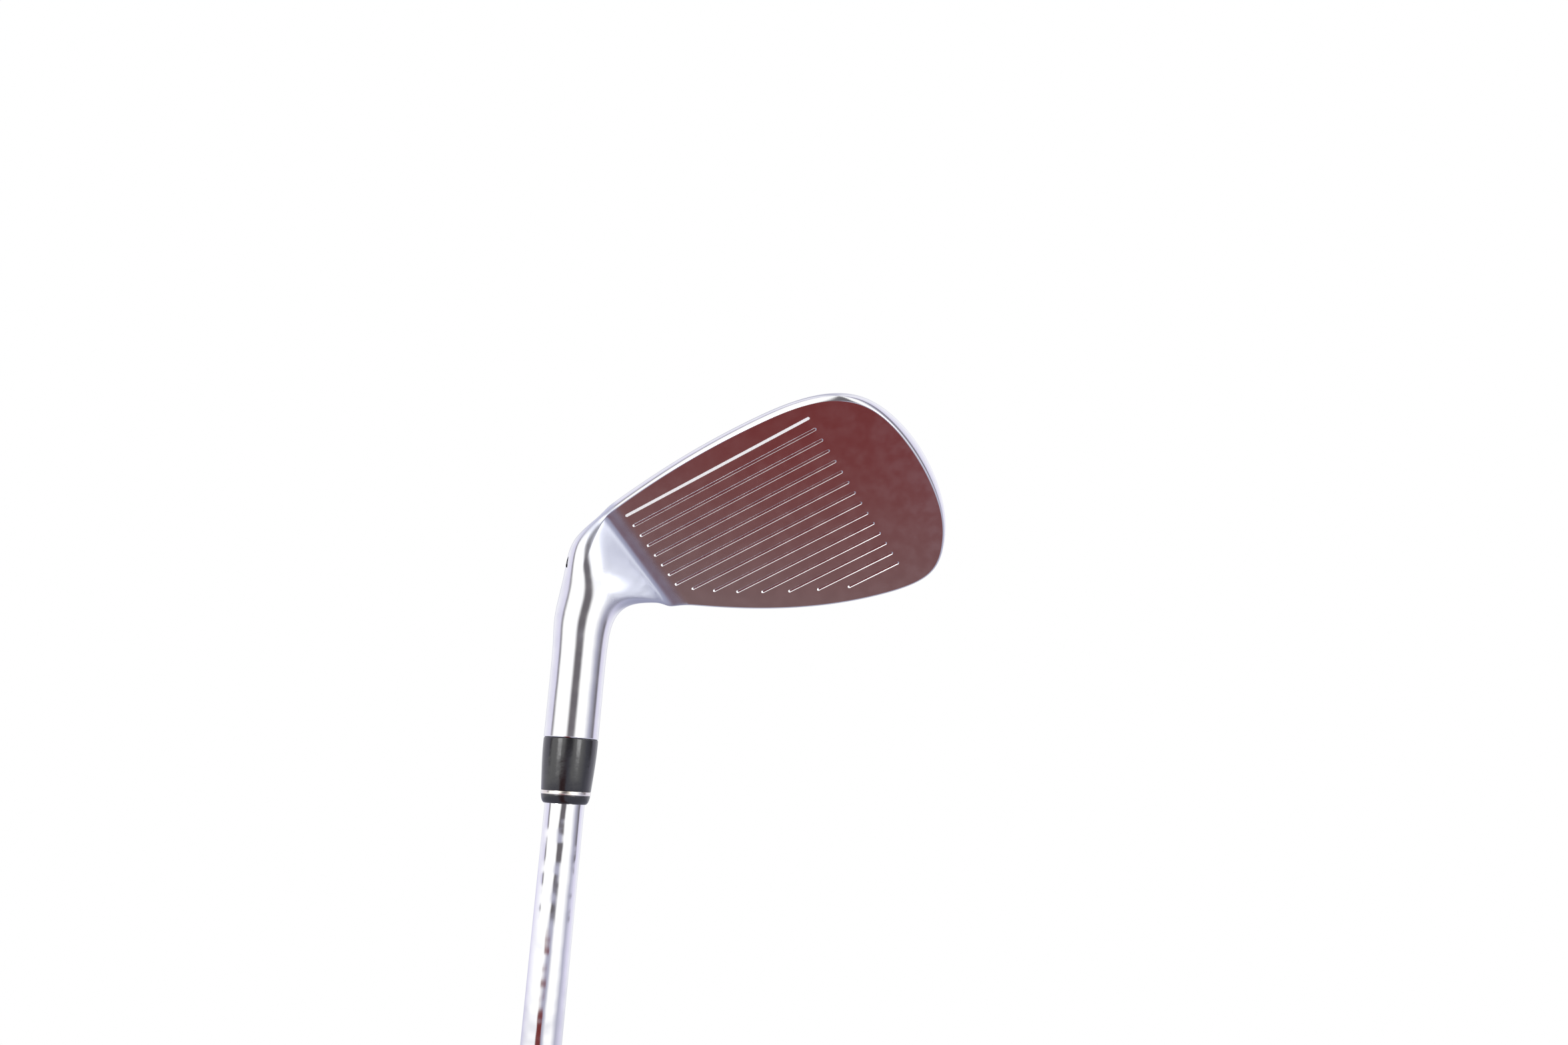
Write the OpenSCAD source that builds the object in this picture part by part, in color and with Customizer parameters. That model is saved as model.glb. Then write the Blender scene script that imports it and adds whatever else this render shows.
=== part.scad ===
// Golf club: a cavity-back pitching wedge on a stepped steel shaft.
// The shaft axis is Z. The grip's butt face is at z = 0 and the head is at the top.
// The toe points to +X and the face looks to -Y (a right-handed club).

/* [Club] */
// Length from the butt face to the ground, along the shaft
club_length = 908; // [880:1:940]
// Lie angle between the shaft and the ground, degrees
lie = 64; // [60:0.5:66]
// Loft angle of the face, degrees
loft = 45; // [42:0.5:48]
// Distance of the face plane in front of the shaft axis at ground level
face_progression = 4; // [3:0.1:5]
// Radius of the leading edge's camber along the blade
lead_radius = 200; // [150:10:300]
// Radius of the top line's arch along the blade
top_radius = 80; // [70:1:100]

/* [Hosel] */
// Length of shaft axis from the ground to the end of the hosel
hosel_reach = 56.7; // [54:0.1:60]
// Outer diameter of the hosel
hosel_d = 13; // [12.6:0.1:13.4]
// Depth of the hosel bore
bore_depth = 32; // [26:1:34]
// Diameter of the hosel bore
bore_d = 9.6; // [9.5:0.01:9.7]
// Diameter of the round bending notch at the heel
notch_d = 3.2; // [2:0.1:4]

/* [Face] */
// Number of scoring lines
groove_count = 15; // [10:1:15]
// Spacing of the scoring lines
groove_pitch = 3.25; // [3:0.05:3.4]
// Width of a scoring line
groove_w = 0.75; // [0.5:0.05:0.9]
// Depth of a scoring line
groove_depth = 0.45; // [0.3:0.05:0.5]
// Height of the first scoring line up the face
groove_start = 6; // [5:0.1:7]

/* [Cavity] */
// Thickness of the face plate in front of the cavity
face_plate_t = 3.6; // [2.6:0.1:4]
// Thickness of the damping pad
pad_t = 1.6; // [1:0.1:2]
// Thickness of the badge plate
badge_t = 1; // [0.6:0.1:1.4]

/* [Ferrule] */
// Length of the black sleeve next to the hosel
sleeve_l = 12.3; // [10:0.1:14]
// Width of the silver ring
ring_l = 1; // [0.8:0.1:1.4]
// Length of the black collar
collar_l = 2; // [1.6:0.1:2.4]
// Outer diameter of the sleeve where it meets the ring
sleeve_end_d = 11.8; // [11.4:0.1:12.2]

/* [Shaft] */
// Diameter of the shaft tip
tip_d = 9.4; // [9.3:0.01:9.42]
// Diameter of the shaft butt
butt_d = 15.24; // [15:0.01:15.3]
// Wall of the shaft tube
shaft_wall = 0.45; // [0.4:0.01:0.6]
// Distance from the tip to the first step
first_step = 230; // [200:1:260]
// Number of steps in the tube
step_count = 12; // [8:1:13]
// Length between two steps
step_pitch = 44.45; // [38:0.05:45]
// Length of the shaft glued into the hosel
insertion = 30; // [24:1:31]
// Length of the weight pressed into the tip
weight_l = 12; // [8:1:16]

/* [Grip] */
// Length of the grip
grip_length = 267; // [250:1:275]
// Thickness of the end cap
cap_t = 5; // [4:0.5:6]
// Diameter of the vent hole in the end cap
vent_d = 3.2; // [2:0.1:4]
// Thickness of the tape under the grip
tape_t = 0.15; // [0.1:0.01:0.2]

/* [Hidden] */
$fn = 64;

// Heights of the joints along the shaft
hosel_z = club_length - hosel_reach;
sleeve_z = hosel_z - sleeve_l;
ring_z = sleeve_z - ring_l;
collar_z = ring_z - collar_l;
tip_z = hosel_z + insertion;
// Height of the face plane's lower end over the ground
ground_u = 1.4;
step_rise = (butt_d - tip_d) / 2 / step_count;
step_blend = 1.2;
band_t = 0.1;
band_l = 34;
band_z = 300;
tape_end = 3;
paint_sink = 0.1;

// The badge stands this far inside the cavity's wall
badge_gap = 1;
plate_d = face_plate_t + pad_t;
// Depth that the cavity's cut runs to, past the back
cavity_reach = 30;
notch_l = 6;

// Corner points of the cavity and of the badge's inlay, clockwise, as [towards the toe, up the face]
CAVITY = [[10, 21], [10, 25], [14, 32.5], [26, 40.5], [39, 47.5], [52, 52], [63, 53], [69, 48.5],
          [71, 37], [70, 25], [66, 20], [56, 19], [38, 19], [20, 20]];
INLAY = [[27, 25], [35, 34], [46, 41], [58, 44], [62, 40], [60, 31], [57, 25.5], [42, 24.5]];
CURVE_STEPS = 6;

// Furthest point of the toe, as [towards the toe, up the face]
TOE = [78, 28.5];
// The blade's outline is three curves: the cambered leading edge, the arched top line and the toe,
// which falls away with the cube of the distance from its furthest point
function lead_at(t) = [t, 0.8 + pow(t - 36, 2) / 2 / lead_radius];
function top_at(t) = [t, 60 - pow(t - 70, 2) / 2 / top_radius];
function toe_at(f) = [TOE[0] - pow(abs(f - TOE[1]), 3) / (f > TOE[1] ? 2500 : 1500), f];

// Control rings of the head, from the toe to the heel. Each row holds the leading-edge point and the
// top-line point as [towards the toe, up the face], the sole as [width, angle], the width of the top
// line, and the bulge of the sole and of the top line as two [outward, behind the face] points.
RINGS = [
    [TOE, TOE, [10.5, 0], 10.5, [[1.4, 1.6], [1.8, 8]], [[1.4, 1.6], [1.8, 8]]],
    [toe_at(14), toe_at(43.5), [13, 14], 10.5, [[1.2, 1.8], [1, 7]], [[1.1, 1.2], [1.3, 6]]],
    [toe_at(6), toe_at(53), [16.5, 32], 9.5, [[1.8, 1.8], [1.2, 6.4]], [[1.1, 1], [1.3, 5.5]]],
    [lead_at(60), toe_at(60), [20, 43], 8.5, [[2.4, 2], [1.6, 6]], [[1, 1], [1.3, 5]]],
    [lead_at(48), top_at(52), [21, 44], 8, [[2.3, 2.1], [1.6, 6]], [[1, 0.9], [1.2, 5]]],
    [lead_at(36), top_at(38), [21, 44], 7.5, [[2.1, 2.1], [1.5, 6]], [[1, 0.9], [1.2, 5]]],
    [lead_at(24), top_at(24), [20.5, 44], 7, [[2, 2.1], [1.5, 6]], [[1, 0.9], [1.2, 5]]],
    [lead_at(12), top_at(12), [19.5, 44], 7, [[1.9, 2.1], [1.5, 6]], [[1, 0.9], [1.2, 5]]],
    [lead_at(6), top_at(7), [18.5, 44], 7, [[2, 2.1], [1.5, 6]], [[1, 0.9], [1.3, 5]]],
    [lead_at(4), [4, 34], [17.5, 44], 7, [[2, 2.1], [1.5, 6]], [[1, 0.9], [1.4, 5]]],
    [[2, 4, -0.3], [2.5, 33, -0.5], [16, 44], 7, [[2, 1.6], [1.5, 6]], [[1, 0.9], [1.5, 5]]],
];
RING_COUNT = len(RINGS);
// The rings where the blade turns into the hosel: the centre, the two half axes and the skew of each,
// as [toe, target, up]. The skew goes round twice as fast, which makes the ring a drop shape.
HEEL_RINGS = [
    [[-3, -7, 14], [5, -8, 10], [1, 8, 0], [-1, -1, -1.5]],
    [[-7.5, -4, 17.5], [6, -2, 6], [2, 8, 0], [0, 0, 0]],
];
// Rings round the shaft axis above the heel, as [distance from the ground, radius]
NECK = [[27, 7.2], [33, 6.6], [39, 6.45], [45.5, 6.45], [52, 6.45]];
NECK_END = 45;
// Centre and direction of the bending notch, as [toe, target, up]
NOTCH = [[-10, 0, 11], [0.3, 1, 0]];
// Angles round the hosel that the ring's corners turn to: leading edge, top line, its back, sole's back
CORNERS = [110, -35, -75, -150];
FACE_N = 6;
RIM_N = 8;
BACK_N = 5;
RING_N = FACE_N + RIM_N + BACK_N + RIM_N;
STEPS = 5;

// Where a scoring line starts at the heel side, by its height up the face: the lines over groove_turn
// start further out, to keep clear of the top line
groove_heel = 7.4;
groove_turn = 29.5;
function groove_from(f) = let (x = max(0, f - groove_turn)) groove_heel + 1.15 * x + 0.026 * x * x;
groove_toe = 60;

// The outer shapes of the grip's end cap and of the grip above it, as [height, radius]
CAP_SHAPE = [[0, 12.2], [0.4, 12.9], [1.2, 13.4], [2.5, 13.6], [cap_t, 13.5]];
GRIP_SHAPE = [[cap_t, 13.5], [7, 13.1], [10, 12.6], [16, 12.15], [30, 11.75], [50, 11.45],
              [100, 10.8], [150, 10.1], [200, 9.35], [250, 8.6], [grip_length - 4, 8.4],
              [grip_length - 1, 8.2], [grip_length, 7.7]];

// From the head's own directions to the club's frame: t towards the toe, g to the target, u upwards
function place(p) = [p[0] * sin(lie) + p[2] * cos(lie), -p[1],
                     club_length + p[0] * cos(lie) - p[2] * sin(lie)];
// From the face: t towards the toe, f up the face, d behind it
function on_face(t, f, d) = [t, face_progression - f * sin(loft) - d * cos(loft),
                             ground_u + f * cos(loft) - d * sin(loft)];
function unit(v) = v / norm(v);
function bezier(a, b, c, d, k) =
    pow(1 - k, 3) * a + 3 * k * pow(1 - k, 2) * b + 3 * k * k * (1 - k) * c + k * k * k * d;

// Outward direction of the outline at a ring: side 0 is the leading edge, side 1 the top line
function outline_way(i, side) =
    face_point(RINGS[min(i + 1, RING_COUNT - 1)][side]) - face_point(RINGS[i - 1][side]);
function outward(i, side) =
    i == 0 ? [1, 0, 0]
    : let (way = outline_way(i, side), v = unit([way[0], way[1]]))
      side == 0 ? [-v[1], v[0], 0] : [v[1], -v[0], 0];

// A point pushed outwards and behind the face
function swell(p, out, by) = p + out * by[0] + [0, 0, by[1]];

// A point given on the face, or in front of it or behind it by a third number
function face_point(p) = [p[0], p[1], len(p) > 2 ? p[2] : 0];

// One control ring of the blade: face, top line, back and sole, in turn
function blade_ring(i) =
    let (r = RINGS[i],
         deep = [0, 0, 1],
         lead = face_point(r[0]),
         top = face_point(r[1]),
         out_l = outward(i, 0),
         out_t = outward(i, 1),
         back_l = lead + r[2][0] * (deep * cos(r[2][1]) - out_l * sin(r[2][1])),
         back_t = top + r[3] * deep,
         pts = concat(
             [for (k = [0 : FACE_N - 1]) lead + (top - lead) * k / FACE_N],
             [for (k = [0 : RIM_N - 1]) bezier(top, swell(top, out_t, r[5][0]),
                 swell(top, out_t, r[5][1]), back_t, k / RIM_N)],
             [for (k = [0 : BACK_N - 1]) back_t + (back_l - back_t) * k / BACK_N],
             [for (k = [0 : RIM_N - 1]) bezier(back_l, swell(lead, out_l, r[4][1]),
                 swell(lead, out_l, r[4][0]), lead, k / RIM_N)]))
    [for (p = pts) on_face(p[0], p[1], p[2])];

// Angle round the hosel of each point of a ring
function turn(a, b, n) = [for (k = [0 : n - 1]) a + (b - a) * k / n];
ANGLES = concat(turn(CORNERS[0], CORNERS[1], FACE_N), turn(CORNERS[1], CORNERS[2], RIM_N),
                turn(CORNERS[2], CORNERS[3], BACK_N), turn(CORNERS[3], CORNERS[0] - 360, RIM_N));
function heel_pts(h) = [for (a = ANGLES) h[0] + h[1] * cos(a) + h[2] * sin(a) + h[3] * sin(2 * a)];
function neck_pts(s, r) = [for (a = ANGLES)
    [-s * cos(lie) + r * cos(a) * sin(lie), r * sin(a), s * sin(lie) + r * cos(a) * cos(lie)]];
// The toe ring's far side is its near side with the leading edge and the top line exchanged
function swap(j) = (FACE_N - j + RING_N) % RING_N;
swapped = let (r = blade_ring(1)) [for (j = [0 : RING_N - 1]) r[swap(j)]];

NET = concat([swapped], [for (i = [0 : RING_COUNT - 1]) blade_ring(i)],
             [for (h = HEEL_RINGS) heel_pts(h)],
             [for (n = NECK) neck_pts(n[0], n[1])]);

// Cubic B-spline through the control rings
function spline(i, k, j) =
    (pow(1 - k, 3) * NET[i][j] + (3 * pow(k, 3) - 6 * k * k + 4) * NET[i + 1][j]
     + (-3 * pow(k, 3) + 3 * k * k + 3 * k + 1) * NET[i + 2][j] + pow(k, 3) * NET[i + 3][j]) / 6;
spans = len(NET) - 3;
function section(q) =
    let (i = min(floor(q / STEPS), spans - 1))
    [for (j = [0 : RING_N - 1]) place(spline(i, q / STEPS - i, j))];
section_count = spans * STEPS;

// Points and faces of the head's skin. At the toe the ring closes on itself, face point to back point.
toe_seam = let (r = section(0)) [for (j = [FACE_N : FACE_N + RIM_N]) r[j]];
skin = concat(toe_seam, [for (q = [1 : section_count]) each section(q)]);
function seam_index(j) =
    j <= FACE_N ? 0
    : j <= FACE_N + RIM_N ? j - FACE_N
    : j <= FACE_N + RIM_N + BACK_N ? RIM_N
    : RING_N - j;
function skin_index(q, j) =
    q == 0 ? seam_index(j) : RIM_N + 1 + (q - 1) * RING_N + j % RING_N;
skin_faces = concat(
    [for (q = [0 : section_count - 1]) for (j = [0 : RING_N - 1])
        let (a = skin_index(q, j), b = skin_index(q, j + 1),
             c = skin_index(q + 1, j + 1), d = skin_index(q + 1, j))
        each [if (a != b) [a, b, c], if (a != d) [a, c, d]]],
    [[for (j = [0 : RING_N - 1]) skin_index(section_count, j)]]);

// A closed cubic B-spline through corner points drawn as [towards the toe, up the face]
function closed_curve(c) = let (n = len(c)) [for (i = [0 : n - 1]) for (q = [0 : CURVE_STEPS - 1])
    let (k = q / CURVE_STEPS)
    (pow(1 - k, 3) * c[i] + (3 * pow(k, 3) - 6 * k * k + 4) * c[(i + 1) % n]
     + (-3 * pow(k, 3) + 3 * k * k + 3 * k + 1) * c[(i + 2) % n] + pow(k, 3) * c[(i + 3) % n]) / 6];
// The same curve moved inwards by a margin, for corners listed clockwise
function drawn_in(p, margin) = let (n = len(p)) [for (i = [0 : n - 1])
    let (d = unit(p[(i + 1) % n] - p[(i + n - 1) % n])) p[i] + margin * [d[1], -d[0]]];

cavity = closed_curve(CAVITY);
inlay = closed_curve(INLAY);

function shaft_r(k) = tip_d / 2 + k * step_rise;
function step_at(k) = tip_z - first_step - (k - 1) * step_pitch;
function shaft_at(z) = shaft_r(len([for (k = [1 : step_count]) if (step_at(k) > z) k]));

// Puts children drawn with x = toe, y = up the face, z = out of the face into the club's frame
module face_frame() {
    toe = place([1, 0, 0]) - place([0, 0, 0]);
    up = place([0, -sin(loft), cos(loft)]) - place([0, 0, 0]);
    out = place([0, cos(loft), sin(loft)]) - place([0, 0, 0]);
    at = place(on_face(0, 0, 0));
    multmatrix([[toe[0], up[0], out[0], at[0]],
                [toe[1], up[1], out[1], at[1]],
                [toe[2], up[2], out[2], at[2]],
                [0, 0, 0, 1]])
        children();
}

// A slab with an outline on the face, from depth a to depth b behind the face
module slab(shape, a, b) {
    translate([0, 0, -b])
        linear_extrude(b - a)
            polygon(shape);
}

module groove(i, width, depth) {
    f = groove_start + i * groove_pitch;
    heel = groove_from(f);
    translate([heel, f - width / 2, -depth])
        cube([groove_toe - heel, width, depth + 0.3]);
}

// The short round cut that a bending tool's pin sits in
module bending_notch() {
    along = place(NOTCH[1]) - place([0, 0, 0]);
    turn_z = atan2(along[1], along[0]);
    tilt = acos(along[2] / norm(along));
    translate(place(NOTCH[0]))
        rotate([0, tilt, turn_z])
            cylinder(d = notch_d, h = notch_l, center = true);
}

// A round solid about the shaft axis from [height, radius] points
module turned(shape) {
    low = shape[0][0];
    high = shape[len(shape) - 1][0];
    rotate_extrude()
        polygon(concat([[0, low]], [for (p = shape) [p[1], p[0]]], [[0, high]]));
}

// The stepped outside of the shaft, made larger or smaller by grow, between two heights
module shaft_form(grow, low, high) {
    steps = [for (k = [step_count : -1 : 1]) each [
        [step_at(k) - step_blend, shaft_r(k) + grow],
        [step_at(k), shaft_r(k - 1) + grow]]];
    inside = [for (p = steps) if (p[0] > low && p[0] < high) p];
    turned(concat([[low, shaft_at(low) + grow]], inside, [[high, shaft_at(high) + grow]]));
}

module head_body() {
    color("silver")
        difference() {
            union() {
                polyhedron(skin, skin_faces);
                translate([0, 0, hosel_z])
                    cylinder(d = hosel_d, h = hosel_reach - NECK_END);
            }
            translate([0, 0, hosel_z - 1])
                cylinder(d = bore_d, h = bore_depth + 1);
            bending_notch();
            face_frame() {
                for (i = [0 : groove_count - 1])
                    groove(i, groove_w, groove_depth);
                slab(cavity, face_plate_t, cavity_reach);
            }
        }
}

module groove_paint() {
    color("white")
        face_frame()
            translate([0, 0, -paint_sink])
                groove(0, groove_w, groove_depth - paint_sink);
}

module badge_pad() {
    color([0.12, 0.12, 0.13])
        face_frame()
            slab(drawn_in(cavity, badge_gap), face_plate_t, plate_d);
}

module badge_plate() {
    color([0.75, 0.76, 0.78])
        face_frame()
            difference() {
                slab(drawn_in(cavity, badge_gap), plate_d, plate_d + badge_t);
                slab(inlay, plate_d + badge_t / 2, plate_d + 2 * badge_t);
            }
}

module badge_inlay() {
    color([0.15, 0.16, 0.2])
        face_frame()
            slab(inlay, plate_d + badge_t / 2, plate_d + badge_t);
}

module ferrule_sleeve() {
    color([0.09, 0.09, 0.1])
        difference() {
            turned([[sleeve_z, sleeve_end_d / 2], [sleeve_z + sleeve_l / 2, hosel_d / 2 - 0.15],
                    [hosel_z, hosel_d / 2]]);
            shaft_form(0, sleeve_z - 1, hosel_z + 1);
        }
}

module ferrule_ring() {
    color([0.85, 0.85, 0.86])
        difference() {
            turned([[ring_z, sleeve_end_d / 2], [sleeve_z, sleeve_end_d / 2]]);
            shaft_form(0, ring_z - 1, sleeve_z + 1);
        }
}

module ferrule_collar() {
    color([0.09, 0.09, 0.1])
        difference() {
            turned([[collar_z, tip_d / 2 + 0.4], [collar_z + collar_l / 3, sleeve_end_d / 2 - 0.3],
                    [ring_z, sleeve_end_d / 2 - 0.05]]);
            shaft_form(0, collar_z - 1, ring_z + 1);
        }
}

module hosel_epoxy() {
    color([0.6, 0.55, 0.35])
        difference() {
            translate([0, 0, hosel_z])
                cylinder(d = bore_d, h = bore_depth);
            translate([0, 0, hosel_z - 1])
                cylinder(d = tip_d, h = insertion + 1);
        }
}

module tip_weight() {
    color([0.75, 0.6, 0.3])
        translate([0, 0, tip_z - weight_l])
            cylinder(d = tip_d - 2 * shaft_wall, h = weight_l);
}

module shaft() {
    color([0.8, 0.8, 0.82])
        difference() {
            shaft_form(0, cap_t, tip_z);
            shaft_form(-shaft_wall, cap_t - 1, tip_z + 1);
        }
}

module shaft_band() {
    color([0.2, 0.2, 0.22])
        difference() {
            shaft_form(band_t, band_z, band_z + band_l);
            shaft_form(0, band_z - 1, band_z + band_l + 1);
        }
}

module grip_tape() {
    color([0.85, 0.82, 0.7])
        difference() {
            shaft_form(tape_t, cap_t, grip_length - tape_end);
            shaft_form(0, cap_t - 1, grip_length);
        }
}

module grip() {
    color([0.1, 0.1, 0.1])
        difference() {
            turned(GRIP_SHAPE);
            shaft_form(tape_t, cap_t - 1, grip_length - tape_end);
            shaft_form(0, cap_t - 1, grip_length + 1);
        }
}

module grip_cap() {
    color([0.14, 0.14, 0.15])
        difference() {
            turned(CAP_SHAPE);
            translate([0, 0, -1])
                cylinder(d = vent_d, h = cap_t + 2);
        }
}

head_body();
groove_paint();
badge_pad();
badge_plate();
badge_inlay();
ferrule_sleeve();
ferrule_ring();
ferrule_collar();
hosel_epoxy();
tip_weight();
shaft();
shaft_band();
grip_tape();
grip();
grip_cap();
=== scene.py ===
"""A pitching wedge: a satin chrome cavity-back head, a black ferrule, a stepped chrome shaft and a grip.

The head is drawn in its own directions, in millimetres: t towards the toe, f up the face and d behind
the face. Everything else is turned about the shaft axis, which is Z of the club's frame.
"""
import math

import bmesh
import bpy
import numpy as np
from mathutils import Matrix, Vector
from mathutils.bvhtree import BVHTree


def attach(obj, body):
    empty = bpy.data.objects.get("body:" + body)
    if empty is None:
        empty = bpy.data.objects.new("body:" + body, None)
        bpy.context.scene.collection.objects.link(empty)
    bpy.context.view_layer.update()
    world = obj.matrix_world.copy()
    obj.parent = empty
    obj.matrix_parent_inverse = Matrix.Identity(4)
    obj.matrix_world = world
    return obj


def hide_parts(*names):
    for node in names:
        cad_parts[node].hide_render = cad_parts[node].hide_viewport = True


MM = 0.001

# ---- the club, with the same driving sizes as the CAD part, in millimetres and degrees
CLUB_LENGTH = 908.0
LIE = math.radians(64)
LOFT = math.radians(45)
FACE_PROGRESSION = 4.0
GROUND_U = 1.4
HOSEL_REACH = 56.7
HOSEL_R = 6.5
BORE_R = 4.8
BORE_DEPTH = 32.0
TIP_R = 4.7
BUTT_R = 7.62
SHAFT_WALL = 0.45
FIRST_STEP = 230.0
STEP_COUNT = 12
STEP_PITCH = 44.45
STEP_BLEND = 1.2
INSERTION = 30.0
WEIGHT_LENGTH = 12.0
SLEEVE_LENGTH = 12.3
RING_LENGTH = 1.0
COLLAR_LENGTH = 2.0
SLEEVE_END_R = 5.9
CAP_T = 5.0
VENT_R = 1.6
GRIP_LENGTH = 267.0
TAPE_T = 0.15
TAPE_END = 3.0
BAND_T = 0.1
BAND_Z = 300.0
BAND_LENGTH = 34.0

HOSEL_Z = CLUB_LENGTH - HOSEL_REACH
SLEEVE_Z = HOSEL_Z - SLEEVE_LENGTH
RING_Z = SLEEVE_Z - RING_LENGTH
COLLAR_Z = RING_Z - COLLAR_LENGTH
TIP_Z = HOSEL_Z + INSERTION

# ---- the blade's outline, as [towards the toe, up the face]: the cambered leading edge, the arched
# top line and the toe, which falls away with the cube of the distance from its furthest point
LEAD_LOW = [36, 0.8]
LEAD_RADIUS = 200.0
TOP_HIGH = [70, 60]
TOP_RADIUS = 80.0
TOE = [78, 28.5]
# the larger of these, the slower the toe falls away below and above its furthest point
TOE_EASE_BELOW = 1500
TOE_EASE_ABOVE = 2500


def lead_at(t):
    return [t, LEAD_LOW[1] + (t - LEAD_LOW[0]) ** 2 / 2 / LEAD_RADIUS]


def top_at(t):
    return [t, TOP_HIGH[1] - (t - TOP_HIGH[0]) ** 2 / 2 / TOP_RADIUS]


def toe_at(f):
    ease = TOE_EASE_ABOVE if f > TOE[1] else TOE_EASE_BELOW
    return [TOE[0] - abs(f - TOE[1]) ** 3 / ease, f]


# ---- the head's control rings, from the toe to the heel: leading-edge point, top-line point,
# sole [width, angle], top width, and the bulge of the sole and of the top line
RINGS = [
    [TOE, TOE, [10.5, 0], 10.5, [[1.4, 1.6], [1.8, 8]], [[1.4, 1.6], [1.8, 8]]],
    [toe_at(14), toe_at(43.5), [13, 14], 10.5, [[1.2, 1.8], [1, 7]], [[1.1, 1.2], [1.3, 6]]],
    [toe_at(6), toe_at(53), [16.5, 32], 9.5, [[1.8, 1.8], [1.2, 6.4]], [[1.1, 1], [1.3, 5.5]]],
    [lead_at(60), toe_at(60), [20, 43], 8.5, [[2.4, 2], [1.6, 6]], [[1, 1], [1.3, 5]]],
    [lead_at(48), top_at(52), [21, 44], 8, [[2.3, 2.1], [1.6, 6]], [[1, 0.9], [1.2, 5]]],
    [lead_at(36), top_at(38), [21, 44], 7.5, [[2.1, 2.1], [1.5, 6]], [[1, 0.9], [1.2, 5]]],
    [lead_at(24), top_at(24), [20.5, 44], 7, [[2, 2.1], [1.5, 6]], [[1, 0.9], [1.2, 5]]],
    [lead_at(12), top_at(12), [19.5, 44], 7, [[1.9, 2.1], [1.5, 6]], [[1, 0.9], [1.2, 5]]],
    [lead_at(6), top_at(7), [18.5, 44], 7, [[2, 2.1], [1.5, 6]], [[1, 0.9], [1.3, 5]]],
    [lead_at(4), [4, 34], [17.5, 44], 7, [[2, 2.1], [1.5, 6]], [[1, 0.9], [1.4, 5]]],
    [[2, 4, -0.3], [2.5, 33, -0.5], [16, 44], 7, [[2, 1.6], [1.5, 6]], [[1, 0.9], [1.5, 5]]],
]
# the face is flat from the toe to this section
FLAT_RING = 8
# the rings where the blade turns into the hosel: the centre, the two half axes and the skew of each,
# in head directions. The skew goes round twice as fast, which makes the ring a drop shape.
HEEL_RINGS = np.array([
    [[-3, -7, 14], [5, -8, 10], [1, 8, 0], [-1, -1, -1.5]],
    [[-7.5, -4, 17.5], [6, -2, 6], [2, 8, 0], [0, 0, 0]],
])
# rings round the shaft axis above the heel, as [distance from the ground, radius]
NECK = [[27, 7.2], [33, 6.6], [39, 6.5], [45.5, 6.5], [52, 6.5]]
# angles round the hosel that a ring's corners turn to: leading edge, top line, back and sole
CORNERS = [110, -35, -75, -150]
# points along the face, each rim and the back of a ring, and sections between two control rings
FACE_N = 28
RIM_N = 20
BACK_N = 20
RING_N = FACE_N + RIM_N + BACK_N + RIM_N
STEPS = 16
# the small round on the face's edges
EDGE_R = 0.25
EDGE_STEPS = 3
# the notch's place and direction, in head directions
NOTCH = [[-10, 0, 11], [0.3, 1, 0]]
NOTCH_R = 1.6
NOTCH_LENGTH = 6.0
# the hosel's rounded end and its bore, as [distance from the ground, radius]
HOSEL_END = [[HOSEL_REACH - 5, HOSEL_R], [HOSEL_REACH - 0.3, HOSEL_R],
             [HOSEL_REACH - 0.08, HOSEL_R - 0.08], [HOSEL_REACH, HOSEL_R - 0.3],
             [HOSEL_REACH, BORE_R + 0.25], [HOSEL_REACH - 0.25, BORE_R],
             [HOSEL_REACH - BORE_DEPTH, BORE_R], [HOSEL_REACH - BORE_DEPTH - 1, 0.4]]

# ---- scoring lines. From GROOVE_TURN up the face, their heel ends move away from the top line.
GROOVE_COUNT = 15
GROOVE_START = 6.0
GROOVE_PITCH = 3.25
GROOVE_W = 0.75
GROOVE_FLOOR_W = 0.08
GROOVE_DEPTH = 0.45
GROOVE_TOE = 60.0
GROOVE_HEEL = 7.4
GROOVE_TURN = 29.5
GROOVE_LEAN = 1.15
GROOVE_CURVE = 0.026

# ---- cavity and badge, as corners of closed curves and depths behind the face
CAVITY = [[10, 21], [10, 25], [14, 32.5], [26, 40.5], [39, 47.5], [52, 52], [63, 53], [69, 48.5],
          [71, 37], [70, 25], [66, 20], [56, 19], [38, 19], [20, 20]]
INLAY = [[27, 25], [35, 34], [46, 41], [58, 44], [62, 40], [60, 31], [57, 25.5], [42, 24.5]]
FACE_PLATE_T = 3.6
PAD_T = 1.6
BADGE_T = 1.0
BADGE_GAP = 1.0
# three shallow lines that follow the badge's outline, by their distance from it
BADGE_LINES = [1.4, 2.2, 3.0]
# the section of each line, as [distance from its outer edge, depth]
BADGE_LINE_SHAPE = [[0, 0], [0.1, 0.22], [0.35, 0.22], [0.45, 0]]
CAVITY_REACH = 30.0

# ---- outer shapes of the grip's end cap and of the grip, as [height, radius]
CAP_SHAPE = [[0, 12.2], [0.4, 12.9], [1.2, 13.4], [2.5, 13.6], [CAP_T, 13.5]]
GRIP_SHAPE = [[CAP_T, 13.5], [7, 13.1], [10, 12.6], [16, 12.15], [30, 11.75], [50, 11.45],
              [100, 10.8], [150, 10.1], [200, 9.35], [250, 8.6], [GRIP_LENGTH - 4, 8.4],
              [GRIP_LENGTH - 1, 8.2], [GRIP_LENGTH, 7.7]]

# ---- the camera, in metres and degrees, from a least-squares solution of the photo's perspective
CAMERA_AT = Vector((0.15691, -0.25997, 0.8437))
CAMERA_AIM = Vector((0.04683, 0.01195, 0.90648))
CAMERA_ROLL = 3.69
CAMERA_LENS = 28.06


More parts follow.
